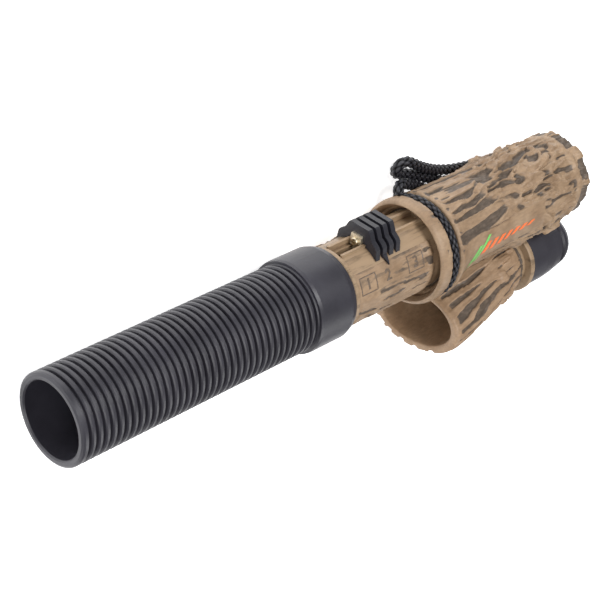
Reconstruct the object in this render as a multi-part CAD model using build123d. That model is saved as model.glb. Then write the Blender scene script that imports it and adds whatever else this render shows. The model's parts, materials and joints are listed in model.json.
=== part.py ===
from build123d import *
import math
import os

# Deer grunt call with a second, under-slung wheeze call, lying on its side.
#
# Design frame (mm): +X runs along the main axis from the open end of the ribbed tube (x = 0)
# to the blown end, +Z points to the thumb slider, and the wheeze horn hangs on the -Z side.
# The last step turns every piece into the resting frame, +Z up off the surface it lies on.

# ---- driving dimensions ------------------------------------------------------------------------
TUBE_R = 19.0            # outer radius of the ribbed tube
TUBE_BORE_R = 15.8
RIB_PITCH = 3.3
RIB_GROOVES = 36
RIB_DEPTH = 1.7
FIRST_GROOVE = 3.75
CUFF_R = 20.4
CUFF_X = (119.5, 142.6)
SPIGOT_R = 16.8
FIT = 0.05               # radial clearance of a push fit
LOOSE = 0.35             # clearance between parts that slide past each other

TONE_R = 17.4            # outer radius of the tone barrel
TONE_BORE_R = 13.2
TAIL_R = 14.2            # tail of the tone barrel, inside the main barrel
TAIL_X = (197.9, 226.0)
LIP_X = (142.7, 145.5)
LIP_R = 18.0
TRACK_HALF = 3.3
TRACK_FLOOR = 15.3
RAIL_W = 1.2
RAIL_TOP = 18.1
TONE_TURN = 4.5          # degrees the tone barrel is turned about its axis

SLIDER_X = (159.2, 174.0)
SLIDER_TRAVEL = (-11.0, 14.5)
SLIDER_TOP = 25.4
FIN_W, FIN_GAP = 2.5, 1.6
PLATE_X = (SLIDER_X[0] - 1.05, SLIDER_X[0] - 0.05)      # the plate on the slider's front face
SCREW_Z = 18.2
SCREW_HEAD_R = 1.9
SCREW_R = 0.8

PLUG_X = (124.0, 143.0)  # the plug that holds the tone board
BOARD_END = 214.0
BOARD_HALF = 6.2
BOARD_Z = (-3.6, 2.4)
REED_HALF = 5.6
REED_T = 0.4

MAIN_X = (190.0, 298.0)
RING_R = 23.9
GROOVE_X = (197.0, 203.0)
GROOVE_R = 19.6
SHOULDER_R = 23.4
BODY_Z = 2.9             # the antler body sits this far off the main axis
HEEL_Z = -15.3           # the body is flattened here, over the wheeze flange and cap
BURR_R = 20.2
BURR_Z = 3.9
BLOW_R = 8.0
BLOW_X = (276.0, 294.5)   # the straight wall of the blow hole

CORD_D = 4.5             # braided lanyard
HANK_CENTRE = (-118.0, 44.5)     # resting frame, as are the routes below
HANK_HALF = 18.0         # half of the straight part of the hank's runs
HANK_R = 13.5            # middle of the cord at the hank's folds
HANK_Z = (0.75, 9.85)
TIE_T = 0.6

HORN_Z = -31.35          # axis of the wheeze call
FLANGE_X = (266.0, 268.8)
FLANGE_R = 15.8
CAP_END = 301.0
CAP_R = 15.2
WHEEZE_BORE_R = 9.5
STEM_R = 11.9            # the wheeze tube where it is pushed into the horn
SEAT_R = 11.5            # the wheeze tube where the cap is pushed over it
DISC_T = 0.8

# The call lies on three places: the rim of the ribbed tube, the collar ring and the bell's rim.
# SLOPE is how much the surface falls away from the main axis per mm along X and per mm along Z.
SLOPE = (-0.0255, 0.034)


# ---- helpers -----------------------------------------------------------------------------------
def turned(points, z=0.0):
    """A solid of revolution about a line parallel to X at height z, from (x, radius) points."""
    outline = Polyline(*[(x, 0, r) for x, r in points], close=True)
    return Pos(0, 0, z) * revolve(make_face(outline), Axis.X)


def rod(x0, x1, r, z=0.0):
    return turned([(x0, 0), (x1, 0), (x1, r), (x0, r)], z)


def block(x, y, z):
    """A box from its low and high values along each axis."""
    size = [high - low for low, high in (x, y, z)]
    centre = [(high + low) / 2 for low, high in (x, y, z)]
    return Pos(*centre) * Box(*size)


def o_ring(x, r_mid, r_wire):
    return Pos(x, 0, 0) * Rot(0, 90, 0) * Torus(r_mid, r_wire)


def across(x, z, half_width, half_height, tilt=0.0):
    """A sketch of an ellipse lying across the main axis, leaning by tilt degrees about Y."""
    plane = Plane(origin=(x, 0, z), x_dir=(0, 1, 0), z_dir=(1, 0, 0))
    return plane * Rot(tilt, 0, 0) * Ellipse(half_width, half_height)


# ---- ribbed exhaust tube -----------------------------------------------------------------------
def ribbed_tube():
    groove_r = TUBE_R - RIB_DEPTH
    outer = [(0, TUBE_R - 1.2), (0.5, TUBE_R - 0.3), (1.3, TUBE_R)]
    for i in range(RIB_GROOVES):
        x = FIRST_GROOVE + i * RIB_PITCH
        outer += [
            (x - 1.15, TUBE_R), (x - 0.7, TUBE_R - 0.5), (x - 0.4, groove_r),
            (x + 0.4, groove_r), (x + 0.7, TUBE_R - 0.5), (x + 1.15, TUBE_R),
        ]
    cuff = [
        (CUFF_X[0] + 1.0, CUFF_R - 0.3), (CUFF_X[0] + 2.5, CUFF_R),
        (CUFF_X[1] - 4.0, CUFF_R), (CUFF_X[1] - 1.2, CUFF_R - 0.9), (CUFF_X[1], CUFF_R - 2.1),
    ]
    seat_x = CUFF_X[0] - 1.5
    inner = [
        (CUFF_X[1], SPIGOT_R + FIT), (seat_x, SPIGOT_R + FIT), (seat_x, TUBE_BORE_R),
        (0.6, TUBE_BORE_R), (0, TUBE_BORE_R + 0.6),
    ]
    return turned(outer + cuff + inner)


# ---- tone barrel with its slider track ---------------------------------------------------------
def tone_barrel():
    shell = turned([
        (CUFF_X[0] - 1.0, SPIGOT_R - 0.6), (CUFF_X[0], SPIGOT_R), (LIP_X[0], SPIGOT_R),
        (LIP_X[0], LIP_R - 0.5), (LIP_X[0] + 0.6, LIP_R), (LIP_X[1] - 0.6, LIP_R), (LIP_X[1], TONE_R),
        (TAIL_X[0], TONE_R), (TAIL_X[0], TAIL_R), (218.6, TAIL_R), (218.6, TAIL_R - 1.3),
        (221.2, TAIL_R - 1.3), (221.2, TAIL_R), (TAIL_X[1] - 0.8, TAIL_R), (TAIL_X[1], TAIL_R - 0.8),
        (TAIL_X[1], TAIL_R - 2.4), (TAIL_X[0] - 2.0, TAIL_R - 2.4), (TAIL_X[0] - 4.0, TONE_BORE_R),
        (CUFF_X[0] - 1.0, TONE_BORE_R),
    ])
    track_x = (LIP_X[1], TAIL_X[0] - 1.5)
    rails = Part()
    for side in (-1, 1):
        y = side * (TRACK_HALF + RAIL_W / 2)
        rails += block(track_x, (y - RAIL_W / 2, y + RAIL_W / 2), (TRACK_FLOOR, RAIL_TOP))
    shell += rails
    shell -= block(track_x, (-TRACK_HALF, TRACK_HALF), (TRACK_FLOOR, 22))
    slot_x = (SLIDER_X[0] - 1.2 + SLIDER_TRAVEL[0] - 0.6, SLIDER_X[0] + SLIDER_TRAVEL[1] + 0.6)
    shell -= block(slot_x, (-1.8, 1.8), (9.0, 22))
    return shell


# ---- thumb slider and what it carries ----------------------------------------------------------
def slider_outline():
    half = [
        (0, SLIDER_TOP), (5.1, SLIDER_TOP), (5.8, SLIDER_TOP - 0.7), (7.6, 21.0), (9.9, 19.4),
        (10.8, 18.2), (11.4, 13.4), (0, 13.4),
    ]
    points = half + [(-y, z) for y, z in reversed(half[1:-1])]
    return make_face(Polyline(*[(0, y, z) for y, z in points], close=True))


def slider():
    outline = slider_outline()
    length = SLIDER_X[1] - SLIDER_X[0]
    full = Pos(SLIDER_X[0], 0, 0) * extrude(outline, length, dir=(1, 0, 0))
    core_cut = Part()
    for i in range(3):
        x0 = SLIDER_X[0] + FIN_W + i * (FIN_W + FIN_GAP)
        core_cut += full & block((x0, x0 + FIN_GAP), (-20, 20), (0, 30))
    core = Pos(0, 0, -1.6) * scale(full, (1, 0.86, 0.985))
    body = full - (core_cut - core)
    body -= rod(SLIDER_X[0] - 1, SLIDER_X[1] + 1, TONE_R + LOOSE)
    rail_y = TRACK_HALF + RAIL_W + LOOSE
    body -= block((SLIDER_X[0] - 1, SLIDER_X[1] + 1), (-rail_y, rail_y), (10, RAIL_TOP + LOOSE))
    key_y = TRACK_HALF - LOOSE - 0.05
    key_x = (SLIDER_X[0] + 0.4, SLIDER_X[1] - 0.4)
    body += block(key_x, (-key_y, key_y), (TRACK_FLOOR + LOOSE, RAIL_TOP + 1))
    pointer_x = SLIDER_X[0] + 5.4
    pointer = make_face(Polyline(
        (pointer_x - 1.2, 2.0), (pointer_x + 1.2, 2.0), (pointer_x, -2.4), close=True))
    body += Rot(43, 0, 0) * Pos(0, 0, TONE_R + LOOSE + 0.05) * extrude(pointer, 1.0)
    body -= Pos(SLIDER_X[0] - 0.1, 0, SCREW_Z) * Rot(0, 90, 0) * Cylinder(
        SCREW_R + 0.05, 6.0, align=(Align.CENTER, Align.CENTER, Align.MIN))
    return body


def slider_bracket():
    face = block(PLATE_X, (-2.95, 2.95), (TRACK_FLOOR + LOOSE, 21.4))
    face = fillet(face.edges().filter_by(Axis.X), 0.6)
    leg = block(PLATE_X, (-1.3, 1.3), (8.4, TRACK_FLOOR + 2))
    foot = block((PLATE_X[0], PLATE_X[1] + 3.0), (-1.3, 1.3), (8.4, 9.4))
    plate = face + leg + foot
    hole = Pos(PLATE_X[0] - 1, 0, SCREW_Z) * Rot(0, 90, 0) * Cylinder(
        SCREW_R + 0.15, 3.0, align=(Align.CENTER, Align.CENTER, Align.MIN))
    return plate - hole


def slider_screw():
    start = PLATE_X[0] - 1.15
    seat = start + 1.1
    head = turned([
        (start, 0), (start, SCREW_HEAD_R - 0.45), (start + 0.3, SCREW_HEAD_R - 0.1),
        (seat, SCREW_HEAD_R), (seat, 0),
    ])
    shank = rod(seat, SLIDER_X[0] + 4.0, SCREW_R)
    screw = head + shank
    for size in ((0.6, 2.6), (2.6, 0.6)):
        screw -= Pos(start, 0, 0) * Box(1.4, *size)
    return Pos(0, 0, SCREW_Z) * screw


def reed_carriage():
    """The saddle inside the barrel that presses on the reed and sets its free length."""
    x0 = PLATE_X[0] - 0.9
    body = rod(x0, x0 + 9.0, TONE_BORE_R - 0.4)
    body -= block((x0 - 1, x0 + 10), (-7.2, 7.2), (-7.2, 3.75))
    body -= block((x0 - 1, x0 + 10), (-20, 20), (-20, -4.5))
    body -= block((x0 - 1, x0 + 10), (-20, 20), (9.0 + 1.2, 20)) - block(
        (x0 - 1, x0 + 10), (-1.2, 1.2), (-20, 20))
    body -= block((PLATE_X[0] - 0.05, PLATE_X[1] + 3.05), (-1.35, 1.35), (8.35, 20))
    return body


# ---- reed assembly -----------------------------------------------------------------------------
def tone_board():
    plug = turned([
        (PLUG_X[0], 0), (PLUG_X[0], TONE_BORE_R - FIT), (131.0, TONE_BORE_R - FIT),
        (131.0, TONE_BORE_R - 1.5), (133.4, TONE_BORE_R - 1.5), (133.4, TONE_BORE_R - FIT),
        (PLUG_X[1], TONE_BORE_R - FIT), (PLUG_X[1], 0),
    ])
    board = block((PLUG_X[1] - 1, BOARD_END), (-BOARD_HALF, BOARD_HALF), BOARD_Z)
    board -= block((BOARD_END - 12, BOARD_END + 1), (-7, 7), (1.9, 3))
    body = plug + board
    body -= block((PLUG_X[0] - 1, BOARD_END - 3), (-2.6, 2.6), (-1.6, 3.0))
    reed_seat = BOARD_HALF + 0.1
    body -= block((PLUG_X[1] - 9.0, PLUG_X[1] + 1), (-reed_seat, reed_seat), (BOARD_Z[1], 6.0))
    return body


def reed():
    low = BOARD_Z[1] + FIT
    return block((PLUG_X[1] - 8.6, BOARD_END - 1.0), (-REED_HALF, REED_HALF), (low, low + REED_T))


def reed_wedge():
    low = BOARD_Z[1] + REED_T + 2 * FIT
    half = BOARD_HALF - 0.1
    wedge = Polyline(
        (PLUG_X[1] - 8.9, 0, low), (PLUG_X[1] + 0.6, 0, low), (PLUG_X[1] + 0.6, 0, 5.2),
        (PLUG_X[1] - 8.9, 0, 5.9), close=True)
    return Pos(0, half, 0) * extrude(make_face(wedge), 2 * half, dir=(0, -1, 0))


def board_seal():
    return o_ring(132.2, TONE_BORE_R - 0.76, 0.7)


def tail_seal():
    return o_ring(219.9, TAIL_R - 0.62, 0.62)


# ---- main barrel -------------------------------------------------------------------------------
def heel():
    """What is cut away under the main barrel, so that the flange and the cap clear it."""
    return block((FLANGE_X[0] - 3.5, MAIN_X[1] + 1), (-40, 40), (-40, HEEL_Z))


def antler_body():
    """The round body behind the collar, before it is bored."""
    body = turned([
        (GROOVE_X[1] + 2, 0), (GROOVE_X[1] + 2, 20.9), (211, 20.2), (220, 19.6), (243, 19.6), (252, 20.3),
        (262, 20.6), (275, 20.3), (285, 19.8), (290.5, 18.6), (290.5, 0),
    ], BODY_Z)
    return body - heel()


def main_barrel():
    collar = turned([
        (MAIN_X[0], 0), (MAIN_X[0], RING_R - 1.6), (MAIN_X[0] + 1.0, RING_R - 0.3),
        (MAIN_X[0] + 2.6, RING_R), (GROOVE_X[0] - 0.8, RING_R), (GROOVE_X[0], RING_R - 0.8),
        (GROOVE_X[0], GROOVE_R), (GROOVE_X[1], GROOVE_R), (GROOVE_X[1], SHOULDER_R - 0.8),
        (GROOVE_X[1] + 0.8, SHOULDER_R), (GROOVE_X[1] + 2.0, SHOULDER_R), (GROOVE_X[1] + 5.5, 20.0),
        (GROOVE_X[1] + 5.5, 0),
    ])
    end = turned([
        (278, 0), (278, 15.0), (289, 17.2), (292.0, BURR_R - 1.6), (293.5, BURR_R - 0.2),
        (295.5, BURR_R), (MAIN_X[1] - 0.6, BURR_R - 0.8), (MAIN_X[1], BURR_R - 2.4), (MAIN_X[1], 0),
    ], BURR_Z)
    shell = collar + antler_body() + (end - heel())
    shell -= turned([
        (MAIN_X[0] - 1, 20.6), (MAIN_X[0], 20.6), (MAIN_X[0] + 4.6, 20.2), (MAIN_X[0] + 5.2, 19.2),
        (TAIL_X[0] + 0.1, 17.8), (TAIL_X[0] + 0.1, TAIL_R + FIT), (232, TAIL_R + FIT), (234, 13.2),
        (BLOW_X[0], 13.2), (BLOW_X[0], 0), (MAIN_X[0] - 1, 0),
    ])
    shell -= turned([
        (BLOW_X[0] - 4, 0), (BLOW_X[0] - 4, BLOW_R), (BLOW_X[1], BLOW_R), (BLOW_X[1] + 2, BLOW_R + 1.2),
        (MAIN_X[1] + 1, 13.0), (MAIN_X[1] + 1, 0),
    ], BURR_Z)
    return shell


def lanyard_band():
    """The cord's own turn round the barrel, drawn tight in the groove behind the collar."""
    middle = (GROOVE_X[0] + GROOVE_X[1]) / 2
    return o_ring(middle, GROOVE_R + CORD_D / 2 + 0.02, CORD_D / 2)


# ---- wheeze call -------------------------------------------------------------------------------
def wheeze_horn():
    outer = loft([
        across(203.5, -38.0, 25.4, 13.9, 9.0),
        across(216.0, -37.2, 23.6, 14.3, 5.0),
        across(235.0, -35.0, 19.6, 14.5, 0.0),
        across(263.0, HORN_Z, 14.2, 14.2, 0.0),
    ])
    cavity = loft([
        across(203.0, -37.6, 20.6, 11.2, 9.0),
        across(216.0, -37.0, 19.8, 11.4, 5.0),
        across(235.0, -35.0, 16.6, 11.6, 0.0),
        across(250.0, -33.1, 12.6, 11.2, 0.0),
    ])
    saddle = block((212.0, 261.0), (-5.8, 5.8), (-30.0, -10.0))
    horn = (outer + saddle) - antler_body() - cavity
    horn -= rod(249.0, 270.0, STEM_R + FIT, HORN_Z)
    return horn


def wheeze_tube():
    return turned([
        (251.0, WHEEZE_BORE_R), (251.0, STEM_R), (FLANGE_X[0], STEM_R), (FLANGE_X[0], FLANGE_R - 0.4),
        (FLANGE_X[0] + 0.6, FLANGE_R), (FLANGE_X[1] - 0.6, FLANGE_R), (FLANGE_X[1], FLANGE_R - 0.4),
        (FLANGE_X[1], SEAT_R), (287.0, SEAT_R), (288.0, SEAT_R - 0.7), (288.0, WHEEZE_BORE_R),
    ], HORN_Z)


def wheeze_disc(x, dome):
    """A thin domed whistle plate with a small hole in its middle."""
    back = x + DISC_T
    return turned([
        (x + dome, 1.4), (x + dome * 0.6, 4.5), (x, 7.2), (x, WHEEZE_BORE_R - 0.02),
        (back, WHEEZE_BORE_R - 0.02), (back, 7.2), (back + dome * 0.6, 4.5), (back + dome, 1.4),
    ], HORN_Z)


def wheeze_cap():
    return turned([
        (FLANGE_X[1] + 0.05, SEAT_R + FIT), (FLANGE_X[1] + 0.05, CAP_R - 0.5), (FLANGE_X[1] + 0.6, CAP_R),
        (280.0, CAP_R - 0.1), (286.0, CAP_R - 0.6), (291.6, CAP_R - 1.4), (292.2, CAP_R - 2.7),
        (294.0, CAP_R - 2.9), (294.7, CAP_R - 1.9), (297.0, CAP_R - 2.3), (299.2, CAP_R - 3.4),
        (300.6, CAP_R - 5.0), (CAP_END, CAP_R - 6.4), (CAP_END - 0.4, 7.4), (299.0, 6.8), (289.0, 6.8),
        (288.6, SEAT_R + FIT),
    ], HORN_Z)


# ---- lanyard, already in the resting frame -----------------------------------------------------
# From the groove: over the shoulder, back under the barrel, round, forward to the folded loop in
# front, back again and round under the cap to the hank that lies behind the wheeze call.
LEAD = [
    (-49.6, -32.3, 11.2), (-50.5, -34.4, 9.6), (-53.2, -35.2, 8.3), (-56.7, -34.3, 7.5), (-61.6, -31.8, 6.5),
    (-67.5, -28.6, 5.2), (-74.5, -24.6, 3.7), (-82.0, -19.7, 2.5), (-90.0, -13.6, 2.3), (-98.0, -7.2, 2.3),
    (-106.0, 0.2, 2.3), (-114.0, 5.8, 2.3), (-121.2, 4.9, 2.3), (-126.4, -0.5, 2.3), (-127.0, -8.0, 2.3),
    (-122.3, -14.4, 2.3), (-114.0, -17.0, 2.3), (-104.0, -18.2, 2.3), (-94.5, -20.2, 2.3),
    (-85.5, -24.2, 2.3), (-77.5, -28.2, 2.3), (-71.0, -31.5, 2.3), (-65.4, -34.1, 2.4), (-59.4, -36.1, 2.6),
    (-56.0, -37.6, 3.0), (-54.4, -40.6, 4.1), (-55.4, -43.5, 5.4), (-58.6, -44.1, 6.2), (-62.8, -41.9, 6.4),
    (-69.0, -37.9, 5.6), (-76.8, -33.6, 4.2), (-85.0, -29.6, 3.0), (-92.5, -26.9, 2.4), (-100.0, -24.9, 2.3),
    (-108.0, -23.4, 2.3), (-116.5, -22.3, 2.3), (-125.0, -19.8, 2.3), (-132.0, -14.4, 2.3),
    (-137.0, -6.8, 2.3), (-139.6, 1.8, 2.3), (-139.6, 11.0, 2.3), (-136.2, 19.4, 2.3), (-130.0, 25.8, 2.5),
    (-122.5, 29.8, 2.9),
]
# From the hank, over the incoming lead and forward between the two calls, back to the groove.
RETURN = [
    (-148.2, 36.0, 7.6), (-143.4, 29.8, 7.6), (-135.5, 26.2, 7.6), (-126.0, 25.4, 7.4), (-116.0, 25.4, 5.6),
    (-106.0, 24.8, 3.6), (-96.5, 22.2, 2.6), (-87.5, 18.4, 2.3), (-79.0, 14.6, 2.5), (-71.0, 12.2, 3.2),
    (-64.0, 11.4, 4.4), (-57.8, 11.0, 5.3), (-53.2, 9.9, 5.6), (-50.6, 7.2, 5.6), (-50.0, 4.0, 6.6),
]


def cord_tube(name, route):
    """A tube of straight runs joined by tangent arcs, each as large as its two runs allow."""
    points = [Vector(*p) for p in route]
    runs = [b - a for a, b in zip(points, points[1:])]
    radii = []
    for before, after in zip(runs, runs[1:]):
        half_turn = math.radians(before.get_angle(after)) / 2
        radii.append(0.45 * min(before.length, after.length) / math.tan(half_turn))
    path = FilletPolyline(*points, radius=radii)
    section = Plane(origin=path @ 0, z_dir=path % 0) * Circle(CORD_D / 2)
    tube = sweep(section, path)
    expected = math.pi * (CORD_D / 2) ** 2 * path.length
    print(name, "radii", [round(r, 1) for r in radii])
    print(name, "length", round(path.length, 1), "volume ratio", round(tube.volume / expected, 4))
    return tube


def lanyard_hank():
    """The outer shape of the hank: two turns of cord lying on each other."""
    ring = extrude(SlotCenterToCenter(2 * HANK_HALF, 2 * HANK_R + CORD_D), HANK_Z[1] - HANK_Z[0])
    ring -= extrude(SlotCenterToCenter(2 * HANK_HALF, 2 * HANK_R - CORD_D), HANK_Z[1] - HANK_Z[0])
    return Pos(HANK_CENTRE[0], HANK_CENTRE[1], HANK_Z[0]) * ring


def hank_tie():
    """A flat band drawn round the hank's outer run."""
    inner = (CORD_D + 0.3, HANK_Z[1] - HANK_Z[0] + 0.12)
    outer = (inner[0] + 2 * TIE_T, inner[1] + 2 * TIE_T)
    plane = Plane(
        origin=(HANK_CENTRE[0], HANK_CENTRE[1] + HANK_R, sum(HANK_Z) / 2), x_dir=(0, 1, 0), z_dir=(1, 0, 0))
    profile = RectangleRounded(*outer, 0.9) - RectangleRounded(*inner, 0.3)
    return extrude(plane * profile, 2.0, both=True)


def lanyard():
    lead = cord_tube("lanyard_lead", LEAD)
    back = cord_tube("lanyard_return", RETURN)
    return {
        "lanyard_lead": lead,
        "lanyard_return": back,
        "lanyard_hank": lanyard_hank() - lead - back,
        "hank_tie": hank_tie(),
    }


# ---- resting frame -----------------------------------------------------------------------------
def resting_plane(parts):
    """The plane whose local frame is the resting frame: its origin is under the middle of the call."""
    down = Vector(SLOPE[0], 1.0, SLOPE[1]).normalized()
    plane = Plane(origin=(0, 0, 0), x_dir=Vector(-1, SLOPE[0], 0), z_dir=-down)
    box = Compound(children=[plane.to_local_coords(p) for p in parts.values()]).bounding_box()
    origin = plane.from_local_coords(Vector(box.center().X, box.center().Y, box.min.Z))
    return Plane(origin=origin, x_dir=plane.x_dir, z_dir=plane.z_dir)


def main():
    turn = Rot(TONE_TURN, 0, 0)
    parts = {
        "ribbed_tube": ribbed_tube(),
        "tone_barrel": turn * tone_barrel(),
        "slider": turn * slider(),
        "slider_bracket": turn * slider_bracket(),
        "slider_screw": turn * slider_screw(),
        "reed_carriage": turn * reed_carriage(),
        "tone_board": turn * tone_board(),
        "reed": turn * reed(),
        "reed_wedge": turn * reed_wedge(),
        "tone_board_seal": board_seal(),
        "tail_seal": tail_seal(),
        "main_barrel": main_barrel(),
        "lanyard_band": lanyard_band(),
        "wheeze_horn": wheeze_horn(),
        "wheeze_tube": wheeze_tube(),
        "wheeze_disc_front": wheeze_disc(256.0, 1.6),
        "wheeze_disc_rear": wheeze_disc(264.0, -1.6),
        "wheeze_cap": wheeze_cap(),
    }
    rest = resting_plane(parts)
    print("rest origin", tuple(rest.origin), "x", tuple(rest.x_dir), "z", tuple(rest.z_dir))
    resting = {name: rest.to_local_coords(piece) for name, piece in parts.items()} | lanyard()
    os.makedirs("parts", exist_ok=True)
    for name, piece in resting.items():
        piece.label = name
        export_step(piece, f"parts/{name}.step")


main()
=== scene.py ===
import json
import math

import bmesh
import bpy
import numpy as np
from mathutils import Matrix, Vector


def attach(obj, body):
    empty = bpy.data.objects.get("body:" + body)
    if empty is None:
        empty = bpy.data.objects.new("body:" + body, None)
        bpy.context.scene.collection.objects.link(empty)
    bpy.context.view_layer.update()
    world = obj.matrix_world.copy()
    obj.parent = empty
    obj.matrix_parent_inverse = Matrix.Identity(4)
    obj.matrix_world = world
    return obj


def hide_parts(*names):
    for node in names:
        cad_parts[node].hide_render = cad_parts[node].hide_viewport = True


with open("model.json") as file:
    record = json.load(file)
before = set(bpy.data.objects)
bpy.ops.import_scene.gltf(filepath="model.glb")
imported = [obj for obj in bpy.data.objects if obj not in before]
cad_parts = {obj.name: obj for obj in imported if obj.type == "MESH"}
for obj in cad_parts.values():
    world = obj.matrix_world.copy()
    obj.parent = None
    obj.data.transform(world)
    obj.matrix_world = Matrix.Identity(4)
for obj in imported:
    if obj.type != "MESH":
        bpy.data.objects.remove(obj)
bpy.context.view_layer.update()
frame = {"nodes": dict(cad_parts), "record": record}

# A deer grunt call with a wheeze call slung under it, lying on its side, lanyard behind.
#
# Shapes are written in the call's own millimetres: x runs along the main axis from the open end
# of the ribbed tube to the blown end, z points to the thumb slider, and y to the resting surface.
# place() turns them into the frame's metres. An angle about the axis starts at z and grows towards y.
MM = 0.001
GROOVE_AT = 200.0        # x of the lanyard groove mount
GROOVE_R = 19.6          # floor of the lanyard groove
WHEEZE_AT = 294.0        # x of the wheeze hole mount
HORN_Z = -31.35          # axis of the wheeze call
BODY_Z = 2.9             # middle of the antler body
BURR_Z = 3.9             # middle of the burr end
TONE_R = 17.4            # tone barrel, outside
BORE_R = 8.0             # blow hole
BURR_FLOOR = -15.3       # lowest z of the burr end, so that it clears the wheeze call's cap
CORD_D = 4.5
TAU = 2 * math.pi

MOUNTS = {m["name"]: m for m in frame["record"]["mounts"]}
AXIS_X = np.array(MOUNTS["lanyard_groove"]["axis"])
START = np.array(MOUNTS["lanyard_groove"]["pos_m"]) - GROOVE_AT * MM * AXIS_X
AXIS_Z = START + WHEEZE_AT * MM * AXIS_X - np.array(MOUNTS["wheeze_hole"]["pos_m"])
AXIS_Z /= np.linalg.norm(AXIS_Z)
AXIS_Y = np.cross(AXIS_Z, AXIS_X)


def place(points):
    """Points in the call's millimetres, as an array ending in x, y, z, to the frame's metres."""
    points = np.asarray(points, float) * MM
    return START + points[..., :1] * AXIS_X + points[..., 1:2] * AXIS_Y + points[..., 2:3] * AXIS_Z


# ---- noise -------------------------------------------------------------------------------------
# Widths and lengths are in millimetres. Each seed shifts the same lattice, so looks differ but
# every run gives the same result.
LATTICE = 32
LATTICE_VALUES = np.random.default_rng(11).random((LATTICE, LATTICE, LATTICE))


def smooth(low, high, value):
    """0 below low, 1 above high, an even step between; low may be the larger one."""
    t = np.clip((value - low) / (high - low), 0, 1)
    return t * t * (3 - 2 * t)


def noise(points):
    """Smooth noise from 0 to 1 at points, one unit from one value to the next."""
    cell = np.floor(points).astype(int)
    f = points - cell
    f = f * f * (3 - 2 * f)
    total = 0.0
    for corner in np.ndindex(2, 2, 2):
        i, j, k = ((cell[..., n] + corner[n]) % LATTICE for n in range(3))
        weight = 1.0
        for n in range(3):
            weight = weight * (f[..., n] if corner[n] else 1 - f[..., n])
        total = total + weight * LATTICE_VALUES[i, j, k]
    return total


def drawn(points, length, width, seed=0.0):
    """Noise with cells that are length long along x and width wide."""
    return noise(points / np.array([length, width, width]) + seed)


def streaks(points, length, width, warp, seed=0.0):
    """Noise drawn out along x: the long islands of moulded antler or bark."""
    bend = drawn(points, 16, 8, seed + 3.1) - 0.5
    bend_2 = drawn(points, 16, 8, seed + 17.7) - 0.5
    cells = points / np.array([length, width, width]) + seed
    cells = cells + np.stack([bend_2 * warp, bend * warp * 2, bend_2 * warp * 2], -1)
    return 0.72 * noise(cells) + 0.19 * noise(cells * 2.1 + 5.2) + 0.09 * noise(cells * 4.3 + 9.4)


def grain(points, angle, count, warp, seed):
    """Roughly parallel lengthwise furrows, count of them all round, wandering and broken up."""
    drift = drawn(points, 36, 9, seed) - 0.5
    drift = drift + 0.22 * (drawn(points, 6, 4, seed + 3.3) - 0.5)
    wave = 0.5 + 0.5 * np.sin(count * angle + TAU * warp * drift)
    breaks = drawn(points, 24, 3.4, seed + 7.7)
    return 0.42 * wave + 0.58 * breaks


def furrows(value, low, high, crest_low, crest_high):
    """How far a point is in a hollow, and how far on the crest beside one."""
    hollow = smooth(low, high, value)
    return hollow, smooth(crest_low, crest_high, value) * (1 - hollow)


# ---- meshes ------------------------------------------------------------------------------------
def smoothed(points, step, rounds=2):
    """A closed outline in even steps, its corners softened by averaging."""
    points = np.array(points, float)
    ends = np.roll(points, -1, axis=0)
    out = []
    for a, b in zip(points, ends):
        count = max(1, int(round(np.linalg.norm(b[:2] - a[:2]) / step)))
        out += [a + (b - a) * k / count for k in range(count)]
    out = np.array(out)
    for _ in range(rounds):
        out = 0.5 * out + 0.25 * (np.roll(out, 1, axis=0) + np.roll(out, -1, axis=0))
    return out


def grid_faces(rows, columns, closed_rows=True):
    """Quads over a grid of points whose columns close on themselves, and whose rows may."""
    a, b = np.meshgrid(np.arange(rows if closed_rows else rows - 1), np.arange(columns), indexing="ij")
    a2, b2 = (a + 1) % rows, (b + 1) % columns
    corners = [a * columns + b, a2 * columns + b, a2 * columns + b2, a * columns + b2]
    return np.stack(corners, -1).reshape(-1, 4).tolist()


def link(name, data, material=None):
    """A new object with this data, in the scene."""
    obj = bpy.data.objects.new(name, data)
    bpy.context.collection.objects.link(obj)
    if material:
        data.materials.append(material)
    return obj


def stain_and_shade_mesh(name, vertices, faces, stain_and_shade, material):
    """A smooth closed mesh with a stain-and-shade value at each vertex, which the materials turn into stain
    and painted shade, its vertices in the frame's metres.
    """
    mesh = bpy.data.meshes.new(name)
    mesh.from_pydata(vertices.reshape(-1, 3).tolist(), [], faces)
    if stain_and_shade is not None:
        layer = mesh.attributes.new("stain_and_shade", "FLOAT", "POINT")
        stain_and_shade = np.broadcast_to(stain_and_shade, vertices.shape[:2])
        layer.data.foreach_set("value", stain_and_shade.astype(np.float32).ravel())
    mesh.validate()
    mesh.polygons.foreach_set("use_smooth", [True] * len(mesh.polygons))
    obj = link(name, mesh, material)
    make_outward(obj)
    return obj


def grid_mesh(name, points, material, stain_and_shade=None, closed_rows=True):
    """A mesh over a grid of points in the call's millimetres."""
    return stain_and_shade_mesh(name, place(points), grid_faces(*points.shape[:2], closed_rows), stain_and_shade, material)


def make_outward(obj):
    """Every face normal points out of the closed mesh."""
    bm = bmesh.new()
    bm.from_mesh(obj.data)
    bmesh.ops.recalc_face_normals(bm, faces=bm.faces)
    bm.to_mesh(obj.data)
    bm.free()


def stacked(x, y, z):
    """Points from arrays of x, y and z that may be of different shapes."""
    return np.stack(np.broadcast_arrays(x, y, z), -1)


def around(radius, centre_z, x, angles):
    """Rings of points: radius and x for each ring or point, angle for each column."""
    return stacked(x, radius * np.sin(angles), centre_z + radius * np.cos(angles))


# ---- materials ---------------------------------------------------------------------------------
def shader(name):
    material = bpy.data.materials.new(name)
    material.use_nodes = True
    tree = material.node_tree
    return material, tree, tree.nodes["Principled BSDF"]


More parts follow.
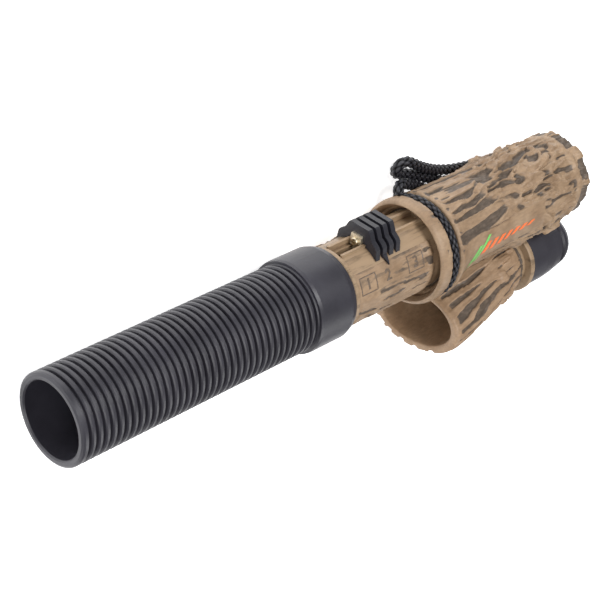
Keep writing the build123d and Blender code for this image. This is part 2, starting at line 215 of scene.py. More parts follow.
def add(tree, kind, **values):
    """A new node; each value sets the node's property of that name, or else its input."""
    node = tree.nodes.new(kind)
    for key, value in values.items():
        if hasattr(node, key):
            setattr(node, key, value)
        else:
            node.inputs[key].default_value = value
    return node


def object_noise(tree, scale, detail=4.0, stretch=(1, 1, 1), rough=0.55):
    """Noise in the object's own space, scale cells to the metre."""
    place_node = add(tree, "ShaderNodeTexCoord")
    mapping = add(tree, "ShaderNodeMapping")
    mapping.inputs["Scale"].default_value = stretch
    tree.links.new(place_node.outputs["Object"], mapping.inputs["Vector"])
    texture = add(tree, "ShaderNodeTexNoise", Scale=scale, Detail=detail, Roughness=rough)
    tree.links.new(mapping.outputs["Vector"], texture.inputs["Vector"])
    return texture.outputs["Fac"]


def ramp(tree, source, stops):
    """The colour at source's value between stops of (value, colour)."""
    node = add(tree, "ShaderNodeValToRGB")
    elements = node.color_ramp.elements
    while len(elements) < len(stops):
        elements.new(0.5)
    for element, (at, colour) in zip(elements, stops):
        element.position = at
        element.color = (*colour, 1)
    tree.links.new(source, node.inputs["Fac"])
    return node.outputs["Color"]


def mixed(tree, factor, a, b, blend="MIX"):
    """Colours a and b mixed; each is a socket or a plain colour, and the factor a socket or a number."""
    node = add(tree, "ShaderNodeMix", data_type="RGBA", blend_type=blend)
    for key, value in (("Factor", factor), ("A", a), ("B", b)):
        socket = node.inputs["Factor"] if key == "Factor" else colour_socket(node.inputs, key)
        if hasattr(value, "is_linked"):
            tree.links.new(value, socket)
        else:
            socket.default_value = (*value, 1) if isinstance(value, tuple) else value
    return colour_socket(node.outputs, "Result")


def colour_socket(sockets, key):
    """A mix node has a socket of each name for each data type; this is the colour one."""
    return next(s for s in sockets if s.name == key and s.type == "RGBA")


def paler(colour, factor, lift=0.0):
    return tuple(min(1, c * factor + lift) for c in colour)


def mapped(tree, source, target, low, high, start=0.0):
    """Source, from start to 1, drives the target socket from low to high."""
    node = add(tree, "ShaderNodeMapRange")
    node.inputs["From Min"].default_value = start
    node.inputs["To Min"].default_value = low
    node.inputs["To Max"].default_value = high
    tree.links.new(source, node.inputs["Value"])
    tree.links.new(node.outputs["Result"], target)


def roughen(tree, bsdf, source, low, high):
    mapped(tree, source, bsdf.inputs["Roughness"], low, high)


def bump(tree, bsdf, source, distance):
    node = add(tree, "ShaderNodeBump", Distance=distance)
    tree.links.new(source, node.inputs["Height"])
    tree.links.new(node.outputs["Normal"], bsdf.inputs["Normal"])


TAN = (0.35, 0.238, 0.147)
TAN_WARM = (0.25, 0.160, 0.092)
# the colour of the stain in the relief, and of the painted shade in the groove and the flange's step
STAIN_AND_SHADE = (0.080, 0.059, 0.043)
BLACK_RGB, WHITE_RGB = (0, 0, 0), (1, 1, 1)


def antler_material(name, tan=TAN, warm=TAN_WARM):
    """Tan plastic with a dark stain left in the relief, and painted shade in the cord's groove and the step
    in front of the bell's flange, both read from the mesh's own stain-and-shade value.
    """
    material, tree, bsdf = shader(name)
    stain_and_shade = add(tree, "ShaderNodeAttribute", attribute_name="stain_and_shade")
    patchy = object_noise(tree, 95.0, 5.0)
    specks = object_noise(tree, 900.0, 3.0, (0.35, 1, 1))
    base = mixed(tree, ramp(tree, patchy, [(0.38, BLACK_RGB), (0.66, WHITE_RGB)]), tan, warm)
    speck = ramp(tree, specks, [(0.35, (0.82, 0.82, 0.82)), (0.62, WHITE_RGB)])
    base = mixed(tree, 1.0, base, speck, "MULTIPLY")
    # the edge of the stain and the painted shade is broken up by the same noise that roughens the surface
    worn = object_noise(tree, 420.0, 5.0, (0.6, 1, 1))
    edge = add(tree, "ShaderNodeMath", operation="MULTIPLY_ADD")
    tree.links.new(worn, edge.inputs[0])
    edge.inputs[1].default_value = 0.9
    edge.inputs[2].default_value = -0.45
    total = add(tree, "ShaderNodeMath", operation="ADD")
    tree.links.new(stain_and_shade.outputs["Fac"], total.inputs[0])
    tree.links.new(edge.outputs["Value"], total.inputs[1])
    amount = ramp(tree, total.outputs["Value"], [(0.30, BLACK_RGB), (0.62, WHITE_RGB)])
    dusty = object_noise(tree, 700.0, 3.0, (0.5, 1, 1))
    # the stain and the painted shade share this colour
    stain_and_shade_colour = ramp(tree, dusty, [(0.42, STAIN_AND_SHADE), (0.70, paler(STAIN_AND_SHADE, 1.75))])
    tree.links.new(mixed(tree, amount, base, stain_and_shade_colour), bsdf.inputs["Base Color"])
    roughen(tree, bsdf, worn, 0.42, 0.66)
    bump(tree, bsdf, worn, 0.00018)
    return material


def streaked_material(name, light, dark):
    """Plain tan plastic with fine streaks along the axis."""
    material, tree, bsdf = shader(name)
    lines = object_noise(tree, 260.0, 6.0, (0.12, 1, 1), 0.65)
    colour = ramp(tree, lines, [(0.30, dark), (0.46, light), (0.75, paler(light, 1.12))])
    tree.links.new(colour, bsdf.inputs["Base Color"])
    roughen(tree, bsdf, lines, 0.38, 0.58)
    bump(tree, bsdf, lines, 0.0001)
    return material


def rubber_material(name, colour, rough=(0.42, 0.6)):
    """Dark rubber or plastic with a fine tooth and slightly paler clouds."""
    material, tree, bsdf = shader(name)
    fine = object_noise(tree, 700.0, 4.0)
    cloud = object_noise(tree, 60.0, 3.0)
    base = ramp(tree, cloud, [(0.3, colour), (0.75, paler(colour, 1.45, 0.004))])
    tree.links.new(base, bsdf.inputs["Base Color"])
    roughen(tree, bsdf, fine, *rough)
    bump(tree, bsdf, fine, 0.00005)
    return material


def metal_material(name, colour, rough=0.32):
    """Metal with dull marks across it."""
    material, tree, bsdf = shader(name)
    bsdf.inputs["Metallic"].default_value = 1.0
    marks = object_noise(tree, 500.0, 5.0, (1, 1, 6))
    base = ramp(tree, marks, [(0.25, paler(colour, 0.6)), (0.6, colour)])
    tree.links.new(base, bsdf.inputs["Base Color"])
    roughen(tree, bsdf, marks, rough, rough + 0.2)
    bump(tree, bsdf, marks, 0.00004)
    return material


def cord_material(name):
    """Black braid with painted shade: the mesh's stain-and-shade value is 0 in the valleys between strands
    and 1 on their crowns, and the valleys are painted dark.
    """
    material, tree, bsdf = shader(name)
    fibres = object_noise(tree, 2600.0, 4.0)
    crown = add(tree, "ShaderNodeAttribute", attribute_name="stain_and_shade")
    thread = ramp(tree, fibres, [(0.3, (0.010, 0.010, 0.013)), (0.7, (0.048, 0.048, 0.060))])
    # painted shade: towards the valleys the thread's colour is darkened almost to black
    shade = ramp(tree, crown.outputs["Fac"], [(0.30, (0.02, 0.02, 0.02)), (0.95, WHITE_RGB)])
    tree.links.new(mixed(tree, 1.0, thread, shade, "MULTIPLY"), bsdf.inputs["Base Color"])
    mapped(tree, crown.outputs["Fac"], bsdf.inputs["Specular IOR Level"], 0.04, 0.5, 0.25)
    roughen(tree, bsdf, fibres, 0.32, 0.5)
    return material


def ink_material(name, colour):
    """A plain colour with worn, paler spots."""
    material, tree, bsdf = shader(name)
    wear = object_noise(tree, 700.0, 5.0)
    base = ramp(tree, wear, [(0.32, paler(colour, 0.75, 0.08)), (0.5, colour)])
    tree.links.new(base, bsdf.inputs["Base Color"])
    roughen(tree, bsdf, wear, 0.45, 0.6)
    return material


ANTLER = antler_material("antler_plastic")
BELL = antler_material("bell_plastic", (0.37, 0.245, 0.15), (0.30, 0.19, 0.11))
TONE = streaked_material("tone_plastic", (0.31, 0.215, 0.132), (0.115, 0.078, 0.046))
HOSE = rubber_material("hose_rubber", (0.021, 0.020, 0.027), (0.36, 0.48))
CAP = rubber_material("cap_rubber", (0.021, 0.0195, 0.026), (0.36, 0.48))
DARK_PLASTIC = rubber_material("slider_plastic", (0.011, 0.011, 0.016), (0.34, 0.5))
PLATE = metal_material("plate_metal", (0.88, 0.79, 0.62), 0.38)
SCREW = metal_material("screw_metal", (0.62, 0.54, 0.40), 0.25)
DISC = metal_material("disc_metal", (0.8, 0.8, 0.8))
CORD = cord_material("cord_braid")
BLACK = rubber_material("black_rubber", (0.012, 0.012, 0.013))
REED = ink_material("reed_film", (0.72, 0.72, 0.68))
WEDGE = ink_material("wedge_rubber", (0.22, 0.12, 0.06))
ORANGE = ink_material("orange_ink", (0.86, 0.16, 0.03))
GREEN = ink_material("green_ink", (0.16, 0.58, 0.12))
MARK = ink_material("mark_stain", (0.12, 0.085, 0.06))


# ---- main barrel -------------------------------------------------------------------------------
# x, radius and middle of the antler body between its shoulder and its burr
BODY = [
    (210.5, 21.2, 1.6), (214.0, 20.6, 2.5), (220.0, 20.1, BODY_Z), (243.0, 20.0, BODY_Z),
    (252.0, 20.5, BODY_Z), (262.0, 20.8, BODY_Z), (275.0, 20.5, BODY_Z),
]
PATCH_MIDDLE, PATCH_HALF = math.radians(-97), math.radians(20.5)
PATCH_X = (206.0, 262.0)
PATCH_RISE = 0.16


def in_patch(points, x, angle):
    """1 on the plain patch that carries the graphic, 0 off it, with a ragged edge."""
    middle = PATCH_MIDDLE + 0.12 * smooth(230.0, 262.0, x)
    side = np.abs(angle - middle) / PATCH_HALF + 0.12 * (noise(points / 7.0 + 57.0) - 0.5)
    end = np.maximum((PATCH_X[0] - x) / 8.0, (x - PATCH_X[1]) / 9.0)
    end = end + 0.35 * (noise(points / 6.0 + 51.0) - 0.5)
    return smooth(1.08, 0.96, side) * smooth(0.35, 0.0, end)


def body_relief(points, x, angle):
    """Height above the plain body in mm and how much stain lies there."""
    edge = 0.03 * (noise(points * np.array([0.55, 1.4, 1.4]) + 8.0) - 0.5)
    hollow, crest = furrows(grain(points, angle, 23, 1.7, 4.0) + edge, 0.53, 0.61, 0.38, 0.49)
    fine = noise(points * np.array([0.35, 1.3, 1.3]) + 2.0) - 0.5
    lines = smooth(0.60, 0.68, streaks(points, 20.0, 1.3, 0.4, 27.0))
    front = 0.10 - 1.05 * hollow + 0.38 * crest + 0.24 * fine - 0.4 * lines * (1 - hollow)
    # towards the burr, and sooner on the slider's side, the relief turns into ropes and knobs
    twist = streaks(points + np.array([40.0, 0, 0]), 19.0, 3.2, 1.3, 6.0)
    rope = np.clip(1 - np.abs(2 * twist - 1) * 6.5, 0, 1) ** 0.7
    knob = smooth(0.64, 0.80, drawn(points, 5.6, 4.6, 21.0))
    low = smooth(0.56, 0.47, drawn(points, 11.0, 2.6, 31.0)) * (1 - rope) * (1 - knob)
    rear = -0.15 + 1.15 * rope + 1.6 * knob - 1.0 * low + 0.25 * fine
    slider_side = smooth(math.radians(-75), math.radians(-25), angle)
    start = 246.0 - 14.0 * slider_side + 16 * (noise(points / 9.0 + 41.0) - 0.5)
    blend = smooth(-9.0, 11.0, x - start)
    height = front * (1 - blend) + rear * blend
    stain_and_shade = np.clip(hollow + 0.75 * lines, 0, 1) * (1 - blend) + low * blend
    patch = in_patch(points, x, angle)
    return height * (1 - patch) + PATCH_RISE * patch, stain_and_shade * (1 - patch)


# x, radius, middle and relief weight of the main barrel's outside, from the collar to the burr
BARREL_OUTSIDE = [
    (190.0, 22.2, 0, 0), (190.9, 23.5, 0, 0), (192.4, 24.0, 0, 0.05), (194.5, 24.1, 0, 0.1),
    (196.3, 23.9, 0, 0.25), (197.0, 23.2, 0, 0.2), (197.1, 19.7, 0, 0), (202.9, 19.7, 0, 0),
    (203.0, 22.5, 0, 0.1), (203.9, 23.4, 0.1, 0.3), (205.4, 23.2, 0.2, 0.6), (207.4, 22.2, 0.7, 0.9),
    *((*row, 1) for row in BODY),
    (284.0, 20.0, 3.2, 1), (287.0, 19.6, 3.4, 0.5), (289.4, 20.0, 3.7, 0.15), (290.6, 19.7, BURR_Z, 0.1),
    (291.5, 19.3, BURR_Z, 0.3), (293.5, 20.1, BURR_Z, 0.4), (295.6, 20.3, BURR_Z, 0.4),
    (297.2, 19.8, BURR_Z, 0.4), (298.0, 18.4, BURR_Z, 0.2),
]
# and of its inside, from the blow hole back to the collar
BARREL_INSIDE = [
    (297.8, 16.8, BURR_Z, 0), (296.9, 13.0, BURR_Z, 0), (296.3, 9.4, BURR_Z, 0), (294.5, BORE_R, BURR_Z, 0),
    (276.0, BORE_R, BURR_Z, 0), (276.0, 13.2, 0, 0), (234.0, 13.2, 0, 0), (232.0, 14.25, 0, 0),
    (198.0, 14.25, 0, 0), (198.0, 17.8, 0, 0), (195.2, 19.2, 0, 0), (194.6, 20.3, 0, 0), (192.6, 20.5, 0, 0),
    (192.4, 21.0, 0, 0), (191.3, 21.1, 0, 0), (191.1, 21.7, 0, 0), (190.3, 21.8, 0, 0),
]


def main_barrel():
    outline = smoothed(BARREL_OUTSIDE + BARREL_INSIDE, 0.45, 1)
    x, r, middle, weight = (column[:, None] for column in outline.T)
    angle = np.linspace(-math.pi, math.pi, 380, endpoint=False)[None]
    base = around(r, middle, x, angle)
    height, stain_and_shade = body_relief(base, x, angle)
    # the collar ring has small pits near its rear edge and soft waves in front
    ring = smooth(190.5, 192.5, x) * smooth(198.0, 196.9, x) * (r > 21)
    pits = smooth(0.70, 0.80, noise(base / 1.9 + 61.0)) * smooth(192.8, 195.6, x)
    wave = drawn(base, 4.0, 9.0, 71.0) - 0.5
    # the burr's rear face is broken into dark cells by raised spokes
    burr = smooth(291.0, 292.6, x) * (r > 12.0)
    cell = smooth(0.64, 0.55, noise(stacked(angle * 5.6, r / 7.0 + 81.0, x / 9.0)))
    out = height * weight + ring * (0.35 * wave - 0.55 * pits) - burr * 0.9 * cell
    stain_and_shade = np.clip(stain_and_shade * smooth(0.15, 0.6, weight) + ring * 0.9 * pits + burr * cell, 0, 1)
    # painted shade: the floor of the cord's groove is painted dark where shade falls in it
    groove = (x > 197.0) & (x < 203.2) & (r < 21)
    stain_and_shade = np.where(groove, 0.75, stain_and_shade)
    points = around(r + out, middle, x + 0 * angle, angle)
    heel = (x > 263) & (r > 15)
    points[..., 2] = np.where(heel, np.maximum(points[..., 2], BURR_FLOOR), points[..., 2])
    obj = grid_mesh("barrel_shell", points, ANTLER, stain_and_shade)
    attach(obj, "root")
    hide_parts("main_barrel")


# ---- tone barrel -------------------------------------------------------------------------------
def tone_skin():
    """Relief on the tone barrel, all round but for the slider's track and what it sweeps."""
    xs = np.arange(145.7, 196.4, 0.34)[:, None]
    angle = np.radians(np.linspace(40.0, 312.0, 330))[None]
    turned = angle - TAU * (angle > math.pi)
    base = around(TONE_R, 0.0, xs, angle)
    edge = 0.05 * (noise(base * np.array([0.8, 1.4, 1.4]) + 19.0) - 0.5)
    hollow, crest = furrows(streaks(base, 14.0, 1.9, 1.1, 33.0) + edge, 0.485, 0.54, 0.40, 0.47)
    fine = noise(base * np.array([0.6, 1.3, 1.3]) + 12.0) - 0.5
    # where the numbered marks are, the barrel is plain but for faint lines
    marks = smooth(math.radians(-90), math.radians(-83), turned) * (turned < 0)
    marks = marks * smooth(188.8, 186.0, xs + 3 * (noise(base / 3.0 + 44.0) - 0.5))
    ends = smooth(145.7, 147.2, xs) * smooth(192.5, 189.5, xs)
    height = (0.62 * (1 - hollow) + 0.18 * crest + 0.2 * fine) * (1 - marks) * ends
    faint = smooth(0.50, 0.60, streaks(base, 12.0, 2.2, 1.2, 47.0))
    stain_and_shade = hollow * (1 - marks) + 0.45 * faint * marks
    outer = around(TONE_R + 0.06 + np.maximum(height, 0), 0.0, xs, angle)
    inner = around(TONE_R - 0.4, 0.0, xs, angle[:, ::-1])
    points = np.concatenate([outer, inner], axis=1)
    stain_and_shade = np.concatenate([stain_and_shade * ends, np.zeros_like(stain_and_shade)], axis=1)
    obj = grid_mesh("tone_relief", points, ANTLER, stain_and_shade, closed_rows=False)
    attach(obj, "tone")


# ---- wheeze call -------------------------------------------------------------------------------
# x, middle, half width across, half height, lean in degrees and relief weight of the bell's outside
BELL_OUTSIDE = [
    (263.2, HORN_Z, 13.2, 13.2, 0, 0.3), (261.6, -31.45, 12.9, 12.9, 0, 0.3),
    (260.0, -31.6, 14.0, 13.9, 0, 0.8), (257.0, -31.9, 14.8, 14.4, 0, 1), (247.0, -33.3, 17.0, 14.5, 0, 1),
    (235.0, -35.0, 19.5, 14.5, 0, 1), (225.0, -36.3, 21.8, 14.4, 2.5, 1),
    (216.0, -37.2, 23.6, 14.3, 5.0, 0.9), (210.0, -37.7, 24.6, 14.1, 7.0, 0.75),
    (206.4, -38.0, 25.2, 14.0, 8.5, 0.35),
    (204.2, -38.0, 25.4, 13.9, 9.0, 0.1), (203.2, -38.0, 25.1, 13.6, 9.0, 0),
]
# and of its lip and inside
BELL_INSIDE = [
    (203.0, -37.9, 24.2, 12.9, 9.0, 0), (203.0, -37.7, 21.6, 11.6, 9.0, 0),
    (203.7, -37.6, 20.7, 11.2, 9.0, 0), (206.0, -37.5, 20.4, 11.2, 8.5, 0),
    (216.0, -37.0, 19.7, 11.3, 5.0, 0), (235.0, -35.0, 16.5, 11.5, 0, 0), (249.8, -33.1, 12.5, 11.1, 0, 0),
    (250.2, HORN_Z, 11.95, 11.95, 0, 0), (263.2, HORN_Z, 11.95, 11.95, 0, 0),
]


def horn():
    """The bell: oval sections along a falling centre line, a wide smooth lip and a plain inside."""
    outline = smoothed(BELL_OUTSIDE + BELL_INSIDE, 0.5, 1)
    x, middle, across, tall, lean, weight = (column[:, None] for column in outline.T)
    angle = np.linspace(-math.pi, math.pi, 260, endpoint=False)[None]
    lean = np.radians(lean)

    def section(extra):
        y = (across + extra) * np.sin(angle)
        up = (tall + extra) * np.cos(angle)
        return np.stack([x + up * np.sin(lean), y, middle + up * np.cos(lean)], -1)

    base = section(0.0)
    edge = 0.04 * (noise(base * np.array([0.5, 1.2, 1.2]) + 9.0) - 0.5)
    furrowed = grain(base * np.array([1, 1, 1.25]), angle, 22, 1.4, 13.0)
    hollow, crest = furrows(furrowed + edge, 0.51, 0.59, 0.36, 0.47)
    rough = drawn(base, 6.0, 3.6, 91.0)
    knob = smooth(0.60, 0.76, rough) * smooth(238.0, 252.0, x)
    extra = weight * (0.1 - 1.15 * hollow + 0.3 * crest + 1.0 * knob + 0.3 * (rough - 0.5))
    # the edge of the mouth is scalloped where the hollows run out
    waves = drawn(base, 60.0, 2.6, 15.0)
    scallop = smooth(214.0, 206.0, x) * smooth(20.5, 22.5, across) * smooth(0.46, 0.58, waves)
    extra = extra - scallop * smooth(0.1, -0.5, np.cos(angle))
    stain_and_shade = np.clip(hollow * smooth(0.2, 0.6, weight) * (1 - 0.8 * knob), 0, 1)
    # painted shade also lies in the step in front of the flange
    stain_and_shade = np.maximum(stain_and_shade, smooth(260.6, 261.4, x) * (tall > 12.2))
    obj = grid_mesh("bell_shell", section(extra), BELL, stain_and_shade)
    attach(obj, "root")
    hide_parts("wheeze_horn")


def saddle():
    """The web that joins the bell to the barrel, with hollow sides."""
    xs = np.linspace(213.0, 260.5, 90)
    y_z = [
        (-5.6, -25.5), (-4.6, -21.5), (-4.2, -18.0), (-5.2, -15.4),
        (5.2, -15.4), (4.2, -18.0), (4.6, -21.5), (5.6, -25.5),
    ]
    outline = smoothed(y_z, 0.6, 2)
    points = stacked(xs[:, None], outline[None, :, 0], outline[None, :, 1]).copy()
    n = streaks(points, 16.0, 3.0, 1.0, 23.0)
    points[..., 1] *= 1 - 0.10 * smooth(0.45, 0.55, n)
    # each end is drawn in almost to a point, which closes it inside the bell and the barrel
    ends = points[[0, -1]]
    ends[..., 1] *= 0.02
    ends[..., 2] = -20.0 + (ends[..., 2] + 20.0) * 0.02
    points = np.concatenate([ends[:1], points, ends[1:]])
    stain_and_shade = smooth(0.42, 0.52, np.concatenate([n[:1], n, n[-1:]]))
    obj = grid_mesh("bell_web", points, ANTLER, stain_and_shade, closed_rows=False)
    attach(obj, "root")


# ---- cords -------------------------------------------------------------------------------------
# the cord's route in the frame's millimetres: from the groove to the hank, and back from it
LEAD = [
    (-49.6, -32.3, 11.2), (-50.5, -34.4, 9.6), (-53.2, -35.2, 8.3), (-56.7, -34.3, 7.5), (-61.6, -31.8, 6.5),
    (-67.5, -28.6, 5.2), (-74.5, -24.6, 3.7), (-82.0, -19.7, 2.5), (-90.0, -13.6, 2.3), (-98.0, -7.2, 2.3),
    (-106.0, 0.2, 2.3), (-114.0, 5.8, 2.3), (-121.2, 4.9, 2.3), (-126.4, -0.5, 2.3), (-127.0, -8.0, 2.3),
    (-122.3, -14.4, 2.3), (-114.0, -17.0, 2.3), (-104.0, -18.2, 2.3), (-94.5, -20.2, 2.3),
    (-85.5, -24.2, 2.3), (-77.5, -28.2, 2.3), (-71.0, -31.5, 2.3), (-65.4, -34.1, 2.4), (-59.4, -36.1, 2.6),
    (-56.0, -37.6, 3.0), (-54.4, -40.6, 4.1), (-55.4, -43.5, 5.4), (-58.6, -44.1, 6.2), (-62.8, -41.9, 6.4),
    (-69.0, -37.9, 5.6), (-76.8, -33.6, 4.2), (-85.0, -29.6, 3.0), (-92.5, -26.9, 2.4), (-100.0, -24.9, 2.3),
    (-108.0, -23.4, 2.3), (-116.5, -22.3, 2.3), (-125.0, -19.8, 2.3), (-132.0, -14.4, 2.3),
    (-137.0, -6.8, 2.3), (-139.6, 1.8, 2.3), (-139.6, 11.0, 2.3), (-136.2, 19.4, 2.3), (-130.0, 25.8, 2.5),
    (-122.5, 29.8, 2.9),
]
RETURN = [
    (-148.2, 36.0, 7.6), (-143.4, 29.8, 7.6), (-135.5, 26.2, 7.6), (-126.0, 25.4, 7.4), (-116.0, 25.4, 5.6),
    (-106.0, 24.8, 3.6), (-96.5, 22.2, 2.6), (-87.5, 18.4, 2.3), (-79.0, 14.6, 2.5), (-71.0, 12.2, 3.2),
    (-64.0, 11.4, 4.4), (-57.8, 11.0, 5.3), (-53.2, 9.9, 5.6), (-50.6, 7.2, 5.6), (-50.0, 4.0, 6.6),
]
HANK_CENTRE = (-118.0, 44.5)
HANK_HALF = 18.0         # half the length of its straight runs
HANK_R = 13.5            # of its folds
HANK_LOW, HANK_HIGH = 3.0, 7.6
STRANDS = 5              # in each of the braid's two directions
LAY_LENGTH = 20.0 * MM
BRAID_LOW, BRAID_HIGH = 0.74, 1.14     # valleys and crowns, as shares of the cord's radius
BAND_D = 3.8             # the cord pulled tight in the groove


def hank_turns(turns=2, per_run=3, per_fold=5):
    """Points of the hank: each turn goes forward, round the front fold, back and round the rear one."""
    run, fold = 2 * HANK_HALF, math.pi * HANK_R
    whole = 2 * (run + fold)
    corner = HANK_R / math.cos(math.pi / 2 / per_fold)
    points = []
    for turn in range(turns):
        for side in (-1, 1):
            gone = turn + (0 if side < 0 else 0.5)
            for k in range(per_run):
                t = (k + 0.5) / per_run
                points.append((side * (HANK_HALF - run * t), side * HANK_R, gone + run * t / whole))
            for k in range(per_fold):
                t = (k + 0.5) / per_fold
                a = side * math.pi / 2 + math.pi * t
                x, y = -side * HANK_HALF + corner * math.cos(a), corner * math.sin(a)
                points.append((x, y, gone + (run + fold * t) / whole))
    # the second turn lies on the first, and the cord climbs just before it starts
    climb = [min(1, max(0, (gone - 0.93) / 0.16)) for _, _, gone in points]
    return [
        (HANK_CENTRE[0] + x, HANK_CENTRE[1] + y, HANK_LOW + (HANK_HIGH - HANK_LOW) * up)
        for (x, y, _), up in zip(points, climb)
    ]


def curve_object(name, kind, points, material=None):
    """A 3-D curve of one spline through or near points in the frame's metres."""
    curve = bpy.data.curves.new(name, "CURVE")
    curve.dimensions = "3D"
    spline = curve.splines.new(kind)
    spline.points.add(len(points) - 1)
    for point, xyz in zip(spline.points, points):
        point.co = (*xyz, 1)
    return link(name, curve, material), spline


def curve_path(points_mm):
    """The points along a smooth curve that is drawn towards points_mm."""
    obj, spline = curve_object("lanyard_line", "NURBS", [[v * MM for v in xyz] for xyz in points_mm])
    spline.order_u = 3
    spline.use_endpoint_u = True
    spline.resolution_u = 16
    line = bpy.data.meshes.new_from_object(obj.evaluated_get(bpy.context.evaluated_depsgraph_get()))
    points = np.array([v.co for v in line.vertices])
    bpy.data.meshes.remove(line)
    bpy.data.objects.remove(obj)
    return points


def even(points, step):
    """Points in even steps along a path, and how far along it each is."""
    gaps = np.linalg.norm(np.diff(points, axis=0), axis=1)
    at = np.concatenate([[0], np.cumsum(gaps)])
    wanted = np.linspace(0, at[-1], max(2, int(at[-1] / step)))
    return np.stack([np.interp(wanted, at, points[:, n]) for n in range(3)], -1), wanted


def braid_height(u, v):
    """Height of a plain braid: in each cell one strand lies on top, rounded across and bulging along."""
    fu, fv = u - np.floor(u), v - np.floor(v)
    first = (np.floor(u) + np.floor(v)) % 2 == 0
    across = np.where(first, fu, fv)
    along = np.where(first, fv, fu)
    profile = np.sqrt(np.clip(1 - (2 * across - 1) ** 2, 0, 1))
    return profile * (0.35 + 0.65 * np.sin(math.pi * along) ** 0.8)


def braid_mesh(name, points, along, closed=False, thickness=CORD_D):
    """A braided sleeve round a path: two sets of strands that pass over and under each other."""
    sides = 54
    tangent = np.gradient(points, axis=0)
    if closed:
        tangent = np.roll(points, -1, axis=0) - np.roll(points, 1, axis=0)
    tangent /= np.linalg.norm(tangent, axis=1)[:, None]
    # each ring's normal is the last one's, turned no more than the path turns
    side = np.cross(tangent[0], (0, 0, 1.0))
    normals = []
    for t in tangent:
        side = side - t * side.dot(t)
        side /= np.linalg.norm(side)
        normals.append(side)
    normals = np.array(normals)
    binormals = np.cross(tangent, normals)
    angle = np.linspace(0, TAU, sides, endpoint=False)[None]
    turn = along[:, None] / LAY_LENGTH * TAU
    height = braid_height(STRANDS * (angle + turn) / TAU, STRANDS * (angle - turn) / TAU)
    radius = (thickness / 2) * MM * (BRAID_LOW + (BRAID_HIGH - BRAID_LOW) * height)
    grid = (
        points[:, None] + normals[:, None] * (radius * np.cos(angle))[..., None]
        + binormals[:, None] * (radius * np.sin(angle))[..., None]
    )
    rows = len(points)
    faces = grid_faces(rows, sides, closed)
    if not closed:
        faces += [list(range(sides)), [(rows - 1) * sides + k for k in range(sides)][::-1]]
    # the height also goes to the material as the stain-and-shade value, which paints shade in the braid's
    # valleys
    return stain_and_shade_mesh(name, grid, faces, height, CORD)


def lanyard():
    """The whole free cord. The hank's first and last two points make way for the lead and the return."""
    path, along = even(curve_path(LEAD + hank_turns()[2:-2] + RETURN), 0.33 * MM)
    # the braid's crowns stand a little proud of the plain cord, so it is kept that much off the floor
    path[:, 2] = np.maximum(path[:, 2], CORD_D / 2 * BRAID_HIGH * MM)
    cord = braid_mesh("lanyard_cord", path, along)
    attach(cord, "root")
    for node in ("lanyard_lead", "lanyard_hank", "lanyard_return"):
        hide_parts(node)


def lanyard_band():
    """The cord's turn in the groove, with a whole number of lays so that the braid meets itself."""
    count = 420
    middle = GROOVE_R + BAND_D / 2 + 0.25
    points = place(around(middle, 0.0, GROOVE_AT, np.linspace(0, TAU, count, endpoint=False)))
    lays = round(TAU * middle * MM / LAY_LENGTH)
    along = np.linspace(0, lays * LAY_LENGTH, count, endpoint=False)
    band = braid_mesh("band_cord", points, along, closed=True, thickness=BAND_D)
    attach(band, "root")
    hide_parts("lanyard_band")


# ---- marks and graphic -------------------------------------------------------------------------
MARK_ANGLE = math.radians(-68)
FRAME_ANGLES = (math.radians(-56), math.radians(-80))


def numeral(text, x):
    """A raised number on the tone barrel: it reads along the call, its top towards the slider."""
    curve = bpy.data.curves.new("mark_" + text, "FONT")
    curve.body = text
    curve.size = 6.8 * MM
    curve.align_x = "CENTER"
    curve.align_y = "CENTER"
    curve.extrude = 0.35 * MM
    curve.bevel_depth = 0.12 * MM
    obj = link("mark_" + text, curve, MARK)
    origin = place(around(TONE_R - 0.25, 0.0, x, MARK_ANGLE))
    rise = math.cos(MARK_ANGLE) * AXIS_Y - math.sin(MARK_ANGLE) * AXIS_Z
    columns = (AXIS_X, rise, np.cross(AXIS_X, rise), origin)
    obj.matrix_world = Matrix([[c[i] for c in columns] for i in range(3)] + [[0, 0, 0, 1]])
    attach(obj, "tone")


def mark_frame(name, x0, x1):
    """A raised frame round a mark, following the barrel."""
    a0, a1 = FRAME_ANGLES
    corners = np.array([(x0, a0), (x1, a0), (x1, a1), (x0, a1)])
    steps = np.arange(8)[:, None] / 8
    path = np.concatenate([
        start + (end - start) * steps for start, end in zip(corners, np.roll(corners, -1, axis=0))
    ])
    points = place(around(TONE_R + 0.06, 0.0, path[:, 0], path[:, 1]))
    obj, spline = curve_object(name, "POLY", points, MARK)
    spline.use_cyclic_u = True
    obj.data.bevel_depth = 0.24 * MM
    obj.data.bevel_resolution = 2
    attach(obj, "tone")


def stripe(name, material, x0, x1, a0, a1, lean):
    """A thin slanted bar of ink that follows the barrel's plain patch, a0 to a1 degrees round it."""
    s, t = np.meshgrid(np.linspace(0, 1, 12), np.linspace(0, 1, 10), indexing="ij")
    x = x0 + (x1 - x0) * s + lean * t
    a = np.radians(a0 + (a1 - a0) * t)
    rows_x, rows_r, rows_z = np.array(BODY).T
    r = np.interp(x, rows_x, rows_r) + PATCH_RISE
    z = np.interp(x, rows_x, rows_z)
    loop = np.concatenate([around(r + 0.12, z, x, a), around(r - 0.25, z, x, a)[:, ::-1]], axis=1)
    obj = grid_mesh(name, loop, material, closed_rows=False)
    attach(obj, "root")


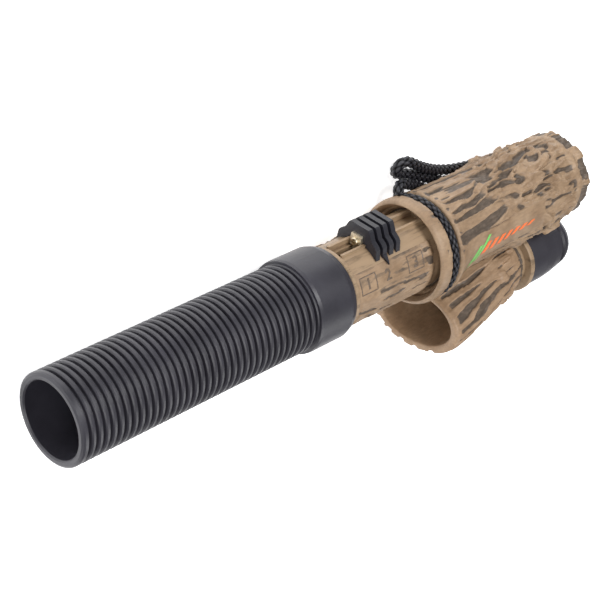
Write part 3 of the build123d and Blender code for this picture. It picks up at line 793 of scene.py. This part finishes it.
def graphic():
    """A generic mark: two green bars and a row of orange ones that shrink towards the burr."""
    stripe("graphic_green_1", GREEN, 211.2, 213.6, -117, -93, 7.0)
    stripe("graphic_green_2", GREEN, 215.8, 217.6, -115, -83, 8.0)
    for k in range(7):
        x0 = 220.4 + 4.9 * k
        middle, half = -100.5 + 1.2 * k, 8.0 - 0.9 * k
        stripe(f"graphic_orange_{k + 1}", ORANGE, x0, x0 + 2.7, middle - half, middle + half, 3.4)


# ---- CAD nodes that stay -----------------------------------------------------------------------
def finish_nodes():
    looks = {
        "ribbed_tube": HOSE, "tone_barrel": TONE, "slider": DARK_PLASTIC, "slider_bracket": PLATE,
        "slider_screw": SCREW, "reed_carriage": DARK_PLASTIC, "tone_board": TONE, "reed": REED,
        "reed_wedge": WEDGE,
        "tone_board_seal": BLACK, "tail_seal": BLACK, "wheeze_tube": TONE, "wheeze_cap": CAP,
        "wheeze_disc_front": DISC, "wheeze_disc_rear": DISC, "hank_tie": BLACK,
    }
    for name, material in looks.items():
        node = frame["nodes"][name]
        node.data.materials.clear()
        node.data.materials.append(material)


# ---- stage -------------------------------------------------------------------------------------
FLOOR_HALF = 3.0
LIGHTS_AT = (-0.03, 0, 0.02)
CAMERA_AT = (0.47851, -0.39639, 0.41741)
CAMERA_RIGHT = Vector((-0.68562, -0.07419, 0.72417)).normalized()
CAMERA_DOWN = Vector((0.34806, 0.84031, 0.41562))
CAMERA_LENS = 103.8      # mm, on a 36 mm sensor


def stage():
    """A white floor that glows a little, so that it stays white under soft lights."""
    mesh = bpy.data.meshes.new("floor")
    corners = [(x * FLOOR_HALF, y * FLOOR_HALF, 0) for x, y in ((-1, -1), (1, -1), (1, 1), (-1, 1))]
    mesh.from_pydata(corners, [], [(0, 1, 2, 3)])
    material, tree, bsdf = shader("floor_paper")
    bsdf.inputs["Base Color"].default_value = (0.85, 0.85, 0.85, 1)
    bsdf.inputs["Roughness"].default_value = 0.9
    bsdf.inputs["Emission Color"].default_value = (1, 1, 1, 1)
    bsdf.inputs["Emission Strength"].default_value = 0.8
    floor = link("floor", mesh, material)


def area_light(name, at, size, power):
    light = bpy.data.lights.new(name, "AREA")
    light.size = size
    light.energy = power
    obj = link(name, light)
    obj.location = at
    obj.rotation_euler = (Vector(LIGHTS_AT) - Vector(at)).to_track_quat("-Z", "Y").to_euler()


def lights():
    world = bpy.data.worlds.new("studio")
    world.use_nodes = True
    background = world.node_tree.nodes["Background"]
    background.inputs["Color"].default_value = (1, 1, 1, 1)
    background.inputs["Strength"].default_value = 0.2
    bpy.context.scene.world = world
    area_light("key", (-0.1, -0.9, 1.2), 0.6, 18)
    area_light("fill", (1.0, -0.1, 0.8), 0.7, 8.5)
    area_light("back", (-0.5, 0.9, 0.9), 0.8, 6)
    bpy.context.scene.view_settings.view_transform = "Standard"


def camera():
    data = bpy.data.cameras.new("camera")
    data.lens = CAMERA_LENS
    data.clip_start = 0.01
    obj = link("camera", data)
    back = CAMERA_RIGHT.cross(-CAMERA_DOWN).normalized()
    columns = (CAMERA_RIGHT, back.cross(CAMERA_RIGHT), back, CAMERA_AT)
    obj.matrix_world = Matrix([[c[i] for c in columns] for i in range(3)] + [[0, 0, 0, 1]])
    bpy.context.scene.camera = obj


camera()
lanyard()
lanyard_band()
main_barrel()
horn()
saddle()
tone_skin()
numeral("1", 151.8)
numeral("2", 163.6)
numeral("3", 180.4)
mark_frame("mark_frame_1", 147.2, 156.4)
mark_frame("mark_frame_3", 175.8, 185.0)
graphic()
finish_nodes()
stage()
lights()
